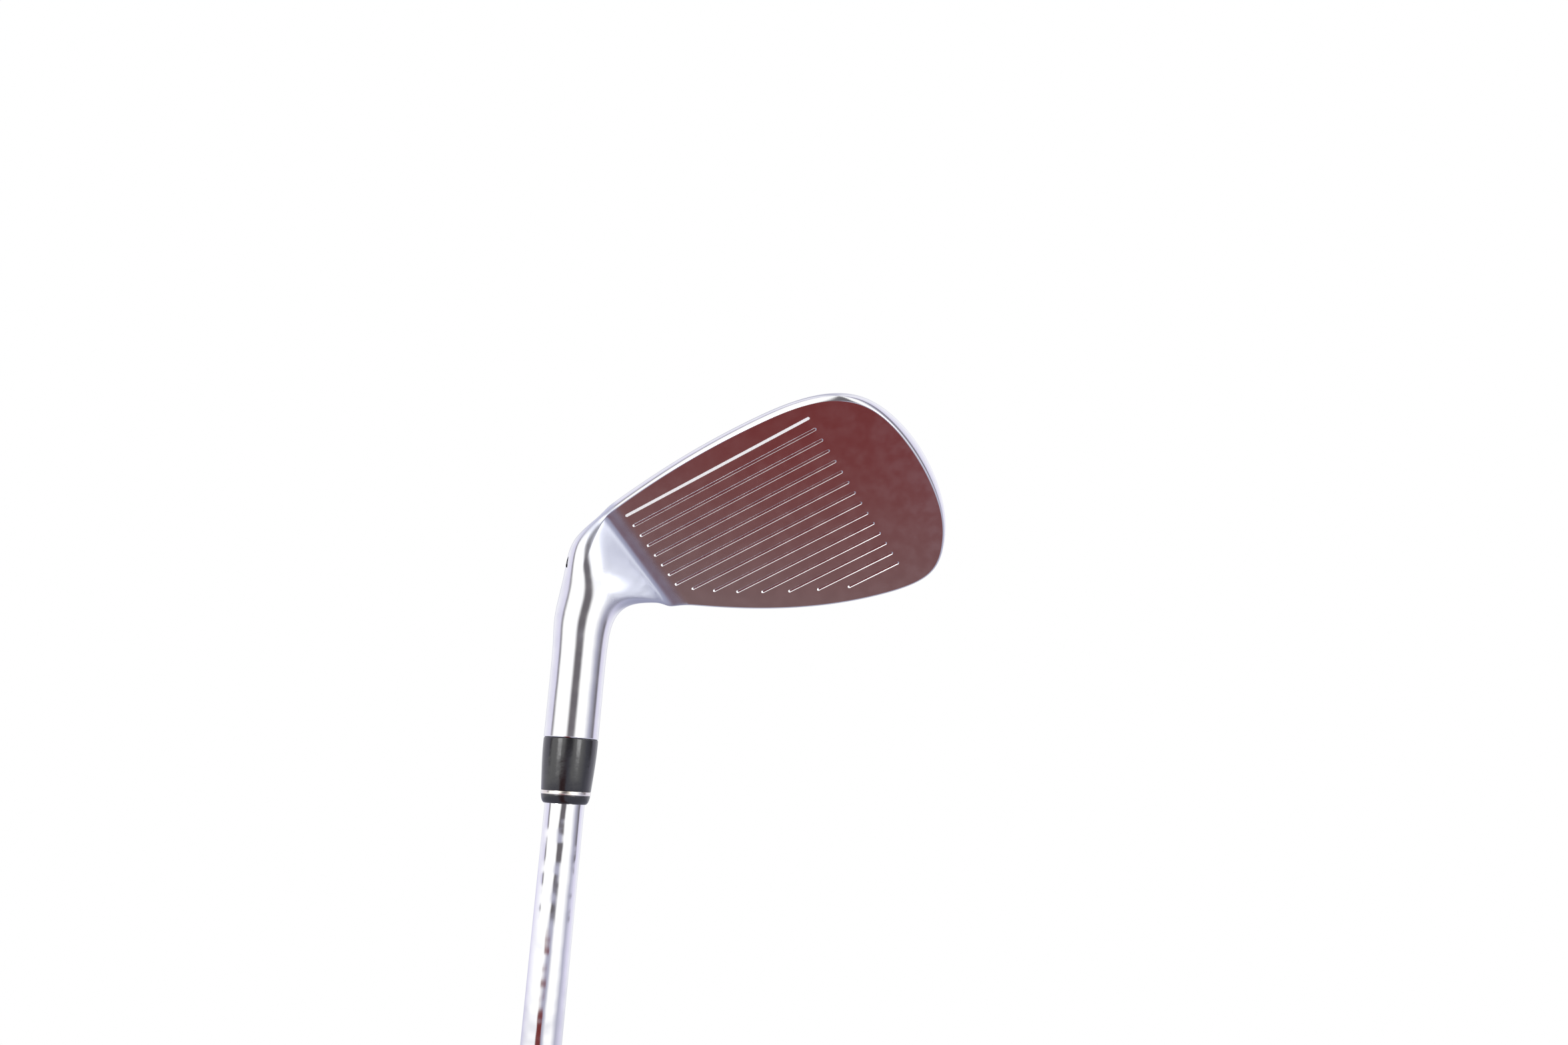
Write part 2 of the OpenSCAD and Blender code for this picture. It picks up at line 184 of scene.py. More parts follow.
# ---------------------------------------------------------------- frames and curves
def from_head(points):
    """Head directions (toe, target, up) to the club's frame."""
    t, g, u = points[..., 0], points[..., 1], points[..., 2]
    return np.stack([t * math.sin(LIE) + u * math.cos(LIE), -g,
                     CLUB_LENGTH + t * math.cos(LIE) - u * math.sin(LIE)], -1)


def from_face(points):
    """Face directions (toe, up the face, behind it) to the club's frame."""
    points = np.asarray(points, float)
    t, f, d = points[..., 0], points[..., 1], points[..., 2]
    g = FACE_PROGRESSION - (f + d) * math.sin(LOFT)
    u = GROUND_U + (f - d) * math.cos(LOFT)
    return from_head(np.stack([t, g, u], -1))


def head_to_face(points):
    """Head directions to face directions."""
    t, g, u = points[..., 0], points[..., 1], points[..., 2]
    both = (FACE_PROGRESSION - g) / math.sin(LOFT)
    apart = (u - GROUND_U) / math.cos(LOFT)
    return np.stack([t, (both + apart) / 2, (both - apart) / 2], -1)


def bezier(a, b, c, d, k):
    k = np.asarray(k)[:, None]
    return (1 - k) ** 3 * a + 3 * k * (1 - k) ** 2 * b + 3 * k ** 2 * (1 - k) * c + k ** 3 * d


def spline_weights(k):
    """The four weights of a uniform cubic B-spline."""
    return [(1 - k) ** 3 / 6, (3 * k ** 3 - 6 * k ** 2 + 4) / 6,
            (-3 * k ** 3 + 3 * k ** 2 + 3 * k + 1) / 6, k ** 3 / 6]


def closed_curve(corners, steps):
    """A closed cubic B-spline through corner points."""
    corners = np.asarray(corners, float)
    points = []
    for i in range(len(corners)):
        for step in range(steps):
            weights = spline_weights(step / steps)
            points.append(sum(w * corners[(i + j) % len(corners)] for j, w in enumerate(weights)))
    return np.array(points)


def drawn_in(points, margin):
    """A closed clockwise curve moved inwards by a margin."""
    along = np.roll(points, -1, 0) - np.roll(points, 1, 0)
    along /= np.linalg.norm(along, axis=1)[:, None]
    return points + margin * np.stack([along[:, 1], -along[:, 0]], -1)


def hermite(points, xs):
    """A smooth curve y(x) through [x, y] points."""
    px, py = np.array(points, float).T
    slope = np.gradient(py, px)
    i = np.clip(np.searchsorted(px, xs, "right") - 1, 0, len(px) - 2)
    span = px[i + 1] - px[i]
    k = (xs - px[i]) / span
    return ((2 * k ** 3 - 3 * k ** 2 + 1) * py[i] + (k ** 3 - 2 * k ** 2 + k) * span * slope[i]
            + (3 * k ** 2 - 2 * k ** 3) * py[i + 1] + (k ** 3 - k ** 2) * span * slope[i + 1])


# ---------------------------------------------------------------- meshes
def make_mesh(name, points, faces, sharp=32):
    """A mesh object from points in millimetres. Edges over the sharp angle stay crisp."""
    mesh = bpy.data.meshes.new(name)
    mesh.from_pydata((np.asarray(points) * MM).tolist(), [], faces)
    obj = bpy.data.objects.new(name, mesh)
    bpy.context.scene.collection.objects.link(obj)
    bm = bmesh.new()
    bm.from_mesh(mesh)
    bmesh.ops.remove_doubles(bm, verts=bm.verts, dist=1e-7)
    bmesh.ops.recalc_face_normals(bm, faces=bm.faces)
    bm.to_mesh(mesh)
    bm.free()
    smooth(obj, sharp)
    return obj


def smooth(obj, sharp):
    obj.data.shade_smooth()
    obj.data.set_sharp_from_angle(angle=math.radians(sharp))


def lofted(rings, close_ends=True):
    """Faces of a tube through equal rings of points."""
    n = len(rings[0])
    faces = []
    for i in range(len(rings) - 1):
        for j in range(n):
            k = (j + 1) % n
            faces.append([i * n + j, i * n + k, (i + 1) * n + k, (i + 1) * n + j])
    if close_ends:
        faces.append(list(range(n))[::-1])
        faces.append([(len(rings) - 1) * n + j for j in range(n)])
    return faces


def prism(name, outlines, depths, sharp=32):
    """A solid behind the face through outlines in face directions, each at its depth."""
    rings = [np.column_stack([o, np.broadcast_to(d, len(o))]) for o, d in zip(outlines, depths)]
    return make_mesh(name, from_face(np.concatenate(rings)), lofted(rings), sharp)


def turned(name, profile, segments=128, sharp=32, bump=None):
    """A solid of revolution about Z from a closed profile of [height, radius]."""
    profile = np.asarray(profile, float)
    angles = np.arange(segments) * 2 * math.pi / segments
    points = []
    faces = []
    for z, r in profile:
        points += [[r * math.cos(a), r * math.sin(a), z] for a in angles]
    for i in range(len(profile)):
        k = (i + 1) % len(profile)
        if profile[i][1] < 1e-6 and profile[k][1] < 1e-6:
            continue
        for j in range(segments):
            m = (j + 1) % segments
            faces.append([i * segments + j, i * segments + m, k * segments + m, k * segments + j])
    if bump is not None:
        points = bump(np.array(points))
    return make_mesh(name, points, faces, sharp)


def filleted(corners, steps=4):
    """A closed profile from [height, radius, fillet] corners."""
    out = []
    n = len(corners)
    for i, (z, r, size) in enumerate(corners):
        here = np.array([z, r])
        before = np.array(corners[i - 1][:2]) - here
        after = np.array(corners[(i + 1) % n][:2]) - here
        if size == 0:
            out.append(here)
            continue
        a = here + before * min(size / np.linalg.norm(before), 0.48)
        b = here + after * min(size / np.linalg.norm(after), 0.48)
        for k in np.linspace(0, 1, steps + 1):
            out.append((1 - k) ** 2 * a + 2 * k * (1 - k) * here + k ** 2 * b)
    return out


def cut(obj, cutter):
    """Takes the cutter's shape out of obj."""
    step = obj.modifiers.new("cut", "BOOLEAN")
    step.operation = "DIFFERENCE"
    step.solver = "EXACT"
    step.object = cutter
    apply_modifiers(obj)
    bpy.data.objects.remove(cutter)


def apply_modifiers(obj):
    graph = bpy.context.evaluated_depsgraph_get()
    mesh = bpy.data.meshes.new_from_object(obj.evaluated_get(graph))
    obj.modifiers.clear()
    obj.data = mesh


def even_normals(obj):
    """Lets large faces set the shading, so flats stay flat beside their rounded edges."""
    step = obj.modifiers.new("normals", "WEIGHTED_NORMAL")
    step.keep_sharp = True
    apply_modifiers(obj)


def dress(obj, material, slot, *nodes):
    """Gives a piece its material, hangs it on the root body and hides the CAD nodes that it stands for. The
    slot is not used.
    """
    obj.data.materials.clear()
    obj.data.materials.append(material)
    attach(obj, "root")
    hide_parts(*nodes)
    return obj


# ---------------------------------------------------------------- the head's skin
def outward(i, side):
    if i == 0:
        return np.array([1.0, 0, 0])
    ahead = RINGS[min(i + 1, len(RINGS) - 1)][side]
    way = np.subtract(ahead[:2], RINGS[i - 1][side][:2])
    way = way / np.linalg.norm(way)
    return np.array([-way[1], way[0], 0]) if side == 0 else np.array([way[1], -way[0], 0])


def blade_ring(i):
    """One control ring of the blade: face, top line, back and sole, in face directions."""
    lead, top, (width, angle), top_width, sole_bulge, top_bulge = RINGS[i]
    deep = np.array([0, 0, 1.0])
    lead = np.array([*lead, 0])[:3]
    top = np.array([*top, 0])[:3]
    out_l = outward(i, 0)
    out_t = outward(i, 1)
    angle = math.radians(angle)
    back_l = lead + width * (deep * math.cos(angle) - out_l * math.sin(angle))
    back_t = top + top_width * deep
    sole = [lead + out_l * out + deep * by for out, by in sole_bulge]
    line = [top + out_t * out + deep * by for out, by in top_bulge]
    face = np.arange(FACE_N) / FACE_N
    rim = np.arange(RIM_N) / RIM_N
    back = np.arange(BACK_N) / BACK_N
    return np.concatenate([
        lead + np.outer(face, top - lead),
        bezier(top, line[0], line[1], back_t, rim),
        back_t + np.outer(back, back_l - back_t),
        bezier(back_l, sole[1], sole[0], lead, rim)])


def hosel_angles():
    a, b, c, d = CORNERS
    turns = [(a, b, FACE_N), (b, c, RIM_N), (c, d, BACK_N), (d, a - 360, RIM_N)]
    return np.radians(np.concatenate([s + (e - s) * np.arange(n) / n for s, e, n in turns]))


def neck_ring(reach, radius):
    """A ring round the shaft axis, in face directions."""
    angle = hosel_angles()
    head = np.stack([-reach * math.cos(LIE) + radius * np.cos(angle) * math.sin(LIE),
                     radius * np.sin(angle),
                     reach * math.sin(LIE) + radius * np.cos(angle) * math.cos(LIE)], -1)
    return head_to_face(head)


def control_net():
    blade = [blade_ring(i) for i in range(len(RINGS))]
    swap = (FACE_N - np.arange(RING_N)) % RING_N
    angle = hosel_angles()[:, None]
    heel = [at + wide * np.cos(angle) + deep * np.sin(angle) + skew * np.sin(2 * angle)
            for at, wide, deep, skew in HEEL_RINGS]
    return ([blade[1][swap]] + blade + [head_to_face(ring) for ring in heel]
            + [neck_ring(s, r) for s, r in NECK])


def sections():
    """Cross-sections of the head from the toe to the neck, in face directions."""
    net = control_net()
    spans = len(net) - 3
    out = []
    for q in range(spans * STEPS + 1):
        i = min(q // STEPS, spans - 1)
        weights = spline_weights(q / STEPS - i)
        out.append(sum(w * net[i + j] for j, w in enumerate(weights)))
    return out


def unit(v):
    return v / max(np.linalg.norm(v), 1e-9)


def edge_round(inner, corner, rim):
    """Points that round an edge of the face, from the face side to the rim side."""
    far = corner + unit(rim - corner) * EDGE_R
    ks = np.arange(1, EDGE_STEPS + 1) / EDGE_STEPS
    return [(1 - k) ** 2 * inner + 2 * k * (1 - k) * corner + k ** 2 * far for k in ks]


def inner_edges(skin, flat):
    """Where the flat face ends at each section: its outline moved inwards, at both edges."""
    lead = np.array([s[0] for s in skin[:flat + 1]])
    top = np.array([s[FACE_N] for s in skin[:flat + 1]])
    outline = np.concatenate([lead[::-1], top[1:]])
    along = np.gradient(outline, axis=0)
    along /= np.linalg.norm(along, axis=1)[:, None]
    inside = outline + EDGE_R * np.stack([-along[:, 1], along[:, 0], 0 * along[:, 0]], -1)
    return inside[:flat + 1][::-1], inside[flat:]


def build_head():
    """The head's skin: a flat face, rounded edges, rims, back, neck and a bored hosel."""
    skin = sections()
    flat = FLAT_RING * STEPS
    lead_in, top_in = inner_edges(skin, flat)
    grid = []
    for q, s in enumerate(skin):
        if q <= flat:
            a, b = lead_in[q], top_in[q]
        else:
            a = s[0] + unit(s[1] - s[0]) * EDGE_R
            b = s[FACE_N] + unit(s[FACE_N - 1] - s[FACE_N]) * EDGE_R
        face = a + np.outer(np.linspace(0, 1, FACE_N + 1), b - a) if q <= flat else s[:FACE_N + 1].copy()
        face[0], face[-1] = a, b
        top_edge = edge_round(b, s[FACE_N], s[FACE_N + 1])
        lead_edge = edge_round(a, s[0], s[-1])[::-1]
        grid.append(np.concatenate([face, top_edge, s[FACE_N + 1:], lead_edge]))
    for reach, radius in HOSEL_END:
        grid.append(like_ring(grid[-1], reach, radius))
    n = len(grid[0])
    faces = []
    for q in range(len(grid) - 1):
        for j in range(n):
            if q < flat and j < FACE_N:
                continue
            k = (j + 1) % n
            faces.append([q * n + j, q * n + k, (q + 1) * n + k, (q + 1) * n + j])
    faces.append([(len(grid) - 1) * n + j for j in range(n)])
    lead_side = [q * n for q in range(flat, -1, -1)]
    top_side = [q * n + FACE_N for q in range(1, flat + 1)]
    across = [flat * n + j for j in range(FACE_N - 1, 0, -1)]
    faces.append(lead_side + top_side + across)
    points = from_face(np.concatenate(grid))
    return make_mesh("head", *weld(points, faces), sharp=34)


def weld(points, faces):
    """Drops repeated corners where the toe's sections close on themselves."""
    seen = {}
    index = []
    for p in np.round(points, 5):
        index.append(seen.setdefault(tuple(p), len(seen)))
    kept = []
    for face in faces:
        face = [index[i] for i in face]
        face = [v for i, v in enumerate(face) if v != face[i - 1]]
        if len(set(face)) > 2:
            kept.append(face)
    return np.array(list(seen)), kept


def like_ring(ring, reach, radius):
    """A ring round the shaft axis whose points keep the angles of the ring before it."""
    points = from_face(ring)
    angle = np.arctan2(points[:, 1], points[:, 0])
    z = CLUB_LENGTH - reach
    flat = np.stack([radius * np.cos(angle), radius * np.sin(angle), np.full(len(angle), z)], -1)
    return face_from_club(flat)


def face_from_club(points):
    """The club's frame back to face directions."""
    x, y, z = points[..., 0], points[..., 1], points[..., 2] - CLUB_LENGTH
    t = x * math.sin(LIE) + z * math.cos(LIE)
    u = x * math.cos(LIE) - z * math.sin(LIE)
    return head_to_face(np.stack([t, -y, u], -1))


# ---------------------------------------------------------------- cuts in the head
def groove_span(i):
    """Height and heel end of a scoring line: the upper lines keep clear of the top line."""
    f = GROOVE_START + i * GROOVE_PITCH
    over = max(0.0, f - GROOVE_TURN)
    return f, GROOVE_HEEL + GROOVE_LEAN * over + GROOVE_CURVE * over * over


def stadium(f, start, end, half):
    """A slot outline along the face with round ends."""
    turn = np.linspace(-math.pi / 2, math.pi / 2, 9)
    right = [[end - half + half * math.cos(a), f + half * math.sin(a)] for a in turn]
    left = [[start + half - half * math.cos(a), f - half * math.sin(a)] for a in turn]
    return np.array(right + left)


def groove_solid(name, i, low, high):
    """A scoring line's shape between two heights over the face."""
    f, start = groove_span(i)
    wall = (GROOVE_W - GROOVE_FLOOR_W) / 2 / GROOVE_DEPTH
    outlines = []
    for level in (low, high):
        out = wall * level
        outlines.append(stadium(f, start - out, GROOVE_TOE + out, GROOVE_W / 2 + out))
    return prism(name, outlines, [-low, -high])


def join(parts, name):
    """One mesh object out of several."""
    bm = bmesh.new()
    for part in parts:
        bm.from_mesh(part.data)
        bpy.data.objects.remove(part)
    mesh = bpy.data.meshes.new(name)
    bm.to_mesh(mesh)
    bm.free()
    obj = bpy.data.objects.new(name, mesh)
    bpy.context.scene.collection.objects.link(obj)
    return obj


def groove_cutter():
    parts = [groove_solid("line", i, -GROOVE_DEPTH, 0.2) for i in range(GROOVE_COUNT)]
    return join(parts, "lines")


def notch_cutter():
    at = from_head(np.array(NOTCH[0]))
    way = Vector(from_head(np.array(NOTCH[1])) - from_head(np.zeros(3))).normalized()
    turn = way.to_track_quat("Z", "X").to_matrix()
    half = NOTCH_LENGTH / 2
    points = []
    rings = []
    for h, r in ((-half, 0.6), (-half + 0.3, 1.1), (-half + 0.8, NOTCH_R), (half, NOTCH_R)):
        ring = [turn @ Vector((r * math.cos(a), r * math.sin(a), h))
                for a in np.arange(48) * 2 * math.pi / 48]
        rings.append(ring)
        points += [np.array(at) + np.array(p) for p in ring]
    return make_mesh("notch", points, lofted(rings))


def back_depths(head, outline):
    """How deep the head's back lies behind the face under each point of an outline."""
    tree = BVHTree.FromObject(head, bpy.context.evaluated_depsgraph_get())
    far = from_face(np.column_stack([outline, np.full(len(outline), CAVITY_REACH + 10)])) * MM
    near = from_face(np.column_stack([outline, np.zeros(len(outline))])) * MM
    depths = []
    for a, b in zip(far, near):
        way = Vector(b - a).normalized()
        hit = tree.ray_cast(Vector(a), way)[0]
        depths.append((Vector(b) - hit).length / MM)
    return np.array(depths)


def cavity_cutter(head):
    """The cavity's shape: a rounded floor, upright walls and a rounded lip at the back."""
    wall = closed_curve(CAVITY, 12)
    back = back_depths(head, wall)
    floor_r = 0.7
    lip_r = 0.5
    outlines, depths = [], []
    for a in np.linspace(0, math.pi / 2, 5):
        outlines.append(drawn_in(wall, floor_r * (1 - math.sin(a))))
        depths.append(FACE_PLATE_T + floor_r * (1 - math.cos(a)))
    for a in np.linspace(0, math.radians(75), 5):
        outlines.append(drawn_in(wall, -lip_r * (1 - math.cos(a))))
        depths.append(back - lip_r * (1 - math.sin(a)))
    outlines.append(drawn_in(wall, -lip_r * 4))
    depths.append(back + lip_r * 1.3)
    outlines.append(drawn_in(wall, -lip_r * 4))
    depths.append(back + CAVITY_REACH)
    return prism("cavity", outlines, depths)


def head_piece(material):
    head = build_head()
    cutters = [cavity_cutter(head), notch_cutter(), groove_cutter()]
    for cutter in cutters:
        cut(head, cutter)
    smooth(head, 30)
    even_normals(head)
    return dress(head, material, "head_steel", "head_body")


# ---------------------------------------------------------------- paint and badge
def paint_piece(material):
    paint = groove_solid("groove_paint_fill", 0, -GROOVE_DEPTH, -0.05)
    return dress(paint, material, "white_paint", "groove_paint")


def plate_outline(margin=0.0):
    return drawn_in(closed_curve(CAVITY, 12), BADGE_GAP + margin)


def badge_pieces(rubber, metal, plastic):
    low = FACE_PLATE_T
    plate = low + PAD_T
    top = plate + BADGE_T
    edge = plate_outline()
    pad = prism("damping_pad", [edge, edge, drawn_in(edge, 0.25)], [low, plate - 0.25, plate])
    dress(pad, rubber, "damping_rubber", "badge_pad")
    outlines = [drawn_in(edge, 0.15), edge, edge, drawn_in(edge, 0.3)]
    depths = [plate, plate + 0.15, top - 0.3, top]
    for margin in BADGE_LINES:
        for step, sunk in BADGE_LINE_SHAPE:
            outlines.append(plate_outline(margin + step))
            depths.append(top - sunk)
    badge = prism("badge_shield", outlines, depths)
    inner = closed_curve(INLAY, 12)
    pocket = prism("pocket", [inner, inner, drawn_in(inner, -0.3)],
                   [plate + BADGE_T / 2, top - 0.2, top + 0.1])
    cut(badge, pocket)
    smooth(badge, 30)
    dress(badge, metal, "badge_metal", "badge_plate")
    inlay = prism("badge_panel", [inner, drawn_in(inner, 0.08), drawn_in(inner, 0.35)],
                  [plate + BADGE_T / 2, top - 0.2, top - 0.08])
    dress(inlay, plastic, "inlay_plastic", "badge_inlay")


# ---------------------------------------------------------------- shaft, ferrule and grip
def shaft_radius(z):
    return TIP_R + step_rise() * sum(1 for k in range(1, STEP_COUNT + 1) if step_at(k) > z)


def step_rise():
    return (BUTT_R - TIP_R) / STEP_COUNT


def step_at(k):
    return TIP_Z - FIRST_STEP - (k - 1) * STEP_PITCH


def shaft_side(low, high, grow):
    """The stepped side of the shaft between two heights, from the low end up."""
    side = [[low, shaft_radius(low) + grow]]
    for k in range(STEP_COUNT, 0, -1):
        z = step_at(k)
        if low < z < high:
            for share in np.linspace(0, 1, 7):
                ease = share * share * (3 - 2 * share)
                side.append([z - STEP_BLEND * (1 - share), shaft_radius(z - 0.1) - step_rise() * ease + grow])
    side.append([high, shaft_radius(high) + grow])
    return side


def shaft_piece(material):
    outside = shaft_side(CAP_T, TIP_Z - 0.3, 0)
    outside.append([TIP_Z, TIP_R - 0.25])
    inside = shaft_side(CAP_T, TIP_Z, -SHAFT_WALL)[::-1]
    shaft = turned("shaft_tube", outside + inside, 160)
    return dress(shaft, material, "shaft_chrome", "shaft")


def ferrule_pieces(black, silver):
    inner = TIP_R
    sleeve = filleted([[SLEEVE_Z, inner, 0], [HOSEL_Z, inner, 0], [HOSEL_Z, HOSEL_R, 0.35],
                       [HOSEL_Z - 2.5, HOSEL_R, 1.5], [SLEEVE_Z + SLEEVE_LENGTH / 2, HOSEL_R - 0.15, 4],
                       [SLEEVE_Z, SLEEVE_END_R, 0.12]])
    dress(turned("ferrule_body", sleeve, 160), black, "ferrule_black", "ferrule_sleeve")
    ring = filleted([[RING_Z, inner, 0], [SLEEVE_Z, inner, 0], [SLEEVE_Z, SLEEVE_END_R, 0.2],
                     [RING_Z, SLEEVE_END_R, 0.2]])
    dress(turned("ferrule_band", ring, 160), silver, "ferrule_silver", "ferrule_ring")
    collar = filleted([[COLLAR_Z, inner, 0], [RING_Z, inner, 0], [RING_Z, SLEEVE_END_R - 0.05, 0.15],
                       [COLLAR_Z + COLLAR_LENGTH / 3, SLEEVE_END_R - 0.3, 0.8],
                       [COLLAR_Z, inner + 0.4, 0.3]])
    dress(turned("ferrule_end", collar, 160), black, "ferrule_black", "ferrule_collar")


def hidden_pieces(epoxy, brass, paper):
    """The adhesive sleeve, the tip weight and the grip tape, which no outside view shows."""
    bottom = HOSEL_Z + BORE_DEPTH
    glue = filleted([[HOSEL_Z, TIP_R, 0], [TIP_Z, TIP_R, 0], [TIP_Z, 0, 0], [bottom, 0, 0],
                     [bottom, BORE_R, 0.5], [HOSEL_Z, BORE_R, 0.1]])
    dress(turned("adhesive", glue, 96), epoxy, "epoxy", "hosel_epoxy")
    low = TIP_Z - WEIGHT_LENGTH
    plug_r = TIP_R - SHAFT_WALL
    plug = filleted([[low, 0, 0], [TIP_Z, 0, 0], [TIP_Z, plug_r, 0.4], [TIP_Z - 3, plug_r, 0.1],
                     [TIP_Z - 3.3, plug_r - 0.25, 0.1], [TIP_Z - 3.9, plug_r - 0.25, 0.1],
                     [TIP_Z - 4.2, plug_r, 0.1], [low, plug_r, 0.6]])
    dress(turned("weight_plug", plug, 96), brass, "weight_brass", "tip_weight")
    high = GRIP_LENGTH - TAPE_END
    outer = shaft_side(CAP_T, high, TAPE_T)
    tape = turned("grip_tape_wrap", outer + shaft_side(CAP_T, high, 0)[::-1], 96)
    dress(tape, paper, "tape_paper", "grip_tape")


def band_piece(material):
    low, high = BAND_Z, BAND_Z + BAND_LENGTH
    r = shaft_radius(low)
    band = filleted([[low, r, 0], [high, r, 0], [high, r + BAND_T, 0.06], [low, r + BAND_T, 0.06]])
    return dress(turned("shaft_label", band, 128), material, "band_film", "shaft_band")


GRIP_COLUMNS = 160
GRIP_ROW = 0.7
DIAMONDS = 9
DIAMOND_PITCH = 11.0
PATTERN_LOW = 22.0
PATTERN_HIGH = 244.0


def grip_relief(z, angle):
    """How far the grip's surface is sunk at a height and an angle, in millimetres."""
    fade = np.clip((z - PATTERN_LOW) / 1.5, 0, 1) * np.clip((PATTERN_HIGH - z) / 1.5, 0, 1)
    around = angle / (2 * math.pi) * DIAMONDS
    lines = []
    for way in (1, -1):
        phase = around + way * z / DIAMOND_PITCH
        lines.append(np.abs(phase - np.round(phase)))
    groove = np.clip(1 - np.minimum(*lines) / 0.11, 0, 1)
    u = around + z / DIAMOND_PITCH
    v = around - z / DIAMOND_PITCH
    du = np.abs(u - np.floor(u) - 0.5)
    dv = np.abs(v - np.floor(v) - 0.5)
    pip = np.clip((0.17 - np.maximum(du, dv)) / 0.05, 0, 1)
    relief = fade * (0.5 * groove * groove * (3 - 2 * groove) + 0.3 * pip)
    for at in (14.0, 17.0, 249.0, 252.0, 255.0):
        relief = relief + 0.35 * np.clip(1 - np.abs(z - at) / 0.9, 0, 1)
    return relief


def grip_piece(material):
    rows = np.concatenate([np.linspace(CAP_T, 10, 14)[:-1], np.arange(10, GRIP_LENGTH - 4, GRIP_ROW),
                           np.linspace(GRIP_LENGTH - 4, GRIP_LENGTH, 12)])
    radii = hermite(GRIP_SHAPE, rows)
    inside = shaft_side(CAP_T, GRIP_LENGTH - TAPE_END, TAPE_T)[::-1]
    mouth = [[GRIP_LENGTH, shaft_radius(GRIP_LENGTH) + 0.02],
             [GRIP_LENGTH - TAPE_END + 0.01, shaft_radius(GRIP_LENGTH) + 0.02]]
    outer = len(rows) * GRIP_COLUMNS

    def sink(points):
        x, y, z = points[:outer].T
        r = np.hypot(x, y)
        share = 1 - grip_relief(z, np.arctan2(y, x)) / r
        points[:outer, 0] *= share
        points[:outer, 1] *= share
        return points

    grip = turned("grip_sleeve", [*zip(rows, radii)] + mouth + inside, GRIP_COLUMNS, 50, sink)
    return dress(grip, material, "grip_rubber", "grip")


def cap_piece(material):
    """The end cap: a domed edge, three moulded rings on the butt face and the vent hole."""
    zs = np.linspace(0, CAP_T, 16)
    edge = [*zip(zs, hermite(CAP_SHAPE, zs))]
    top = [[CAP_T, VENT_R], [0.4, VENT_R], [0.1, VENT_R + 0.15], [0, VENT_R + 0.5]]
    face = []
    for r in (4.2, 7.0, 9.8):
        face += [[0, r - 0.45], [0.35, r - 0.2], [0.35, r + 0.2], [0, r + 0.45]]
    cap = turned("grip_end", edge + top + face, 160, 28)
    return dress(cap, material, "cap_rubber", "grip_cap")


# ---------------------------------------------------------------- materials
class Graph:
    """A node tree with short calls to add and link nodes."""

    def __init__(self, tree):
        self.tree = tree

    def add(self, kind, inputs=None, **settings):
        node = self.tree.nodes.new(kind)
        for key, value in settings.items():
            setattr(node, key, value)
        for key, value in (inputs or {}).items():
            self.feed(node.inputs[key], value)
        return node

    def feed(self, socket, value):
        if isinstance(value, bpy.types.NodeSocket):
            self.tree.links.new(value, socket)
        else:
            socket.default_value = value

    def math(self, operation, *values):
        node = self.add("ShaderNodeMath", operation=operation)
        for socket, value in zip(node.inputs, values):
            self.feed(socket, value)
        return node.outputs[0]

    def ramp(self, value, low, high, a=0.0, b=1.0):
        """A smooth change from a to b while value goes from low to high."""
        node = self.add("ShaderNodeMapRange", interpolation_type="SMOOTHSTEP")
        for key, number in zip(("Value", "From Min", "From Max", "To Min", "To Max"),
                               (value, low, high, a, b)):
            self.feed(node.inputs[key], number)
        return node.outputs["Result"]

    def colours(self, value, stops, interpolation="LINEAR"):
        node = self.add("ShaderNodeValToRGB", {"Fac": value})
        ramp = node.color_ramp
        ramp.interpolation = interpolation
        while len(ramp.elements) < len(stops):
            ramp.elements.new(0.5)
        for element, (at, colour) in zip(ramp.elements, sorted(stops)):
            element.position = at
            element.color = (*colour, 1)
        return node.outputs["Color"]

    def blend(self, factor, a, b):
        node = self.add("ShaderNodeMix", data_type="RGBA")
        self.feed(node.inputs[0], factor)
        self.feed(node.inputs[6], a)
        self.feed(node.inputs[7], b)
        return node.outputs[2]

    def noise(self, vector, scale, detail=2.0, rough=0.5):
        node = self.add("ShaderNodeTexNoise", {"Vector": vector, "Scale": scale, "Detail": detail,
                                               "Roughness": rough})
        return node.outputs["Fac"]


class Surface(Graph):
    """A material with one Principled shader."""

    def __init__(self, name, colour, roughness, metallic=0.0, coat=0.0):
        self.material = bpy.data.materials.new(name)
        self.material.use_nodes = True
        super().__init__(self.material.node_tree)
        self.shader = self.tree.nodes["Principled BSDF"]
        self.put("Base Color", (*colour, 1))
        self.put("Roughness", roughness)
        self.put("Metallic", metallic)
        self.put("Coat Weight", coat)
        self.here = self.add("ShaderNodeTexCoord").outputs["Object"]

    def put(self, socket, value):
        self.feed(self.shader.inputs[socket], value)

    def scaled(self, scale, rotation=(0, 0, 0)):
        """Object coordinates, turned and scaled; a scale of 1000 makes the unit a millimetre."""
        node = self.add("ShaderNodeMapping", {"Vector": self.here, "Scale": scale,
                                              "Rotation": rotation})
        return node.outputs["Vector"]

    def speckle(self, scale, detail=2.0, rough=0.5):
        """Noise whose scale counts cells in a millimetre."""
        return self.noise(self.scaled((1000, 1000, 1000)), scale, detail, rough)

    def bump(self, height, distance):
        """Raises the surface by a texture's height times a distance in millimetres."""
        node = self.add("ShaderNodeBump", {"Height": height, "Distance": distance * MM, "Strength": 1.0})
        self.put("Normal", node.outputs["Normal"])


def face_coordinates(s):
    """Object coordinates in the face's own directions, in millimetres."""
    axes = from_face(np.eye(3)) - from_face(np.zeros((3, 3)))
    toe, up, behind = [Vector(a) for a in axes]
    turn = Matrix((toe, up, -behind)).transposed().to_euler()
    node = s.add("ShaderNodeMapping", {"Vector": s.here, "Rotation": turn,
                                       "Location": Vector(from_face(np.zeros(3))) * MM,
                                       "Scale": (MM, MM, MM)}, vector_type="TEXTURE")
    return node.outputs["Vector"]


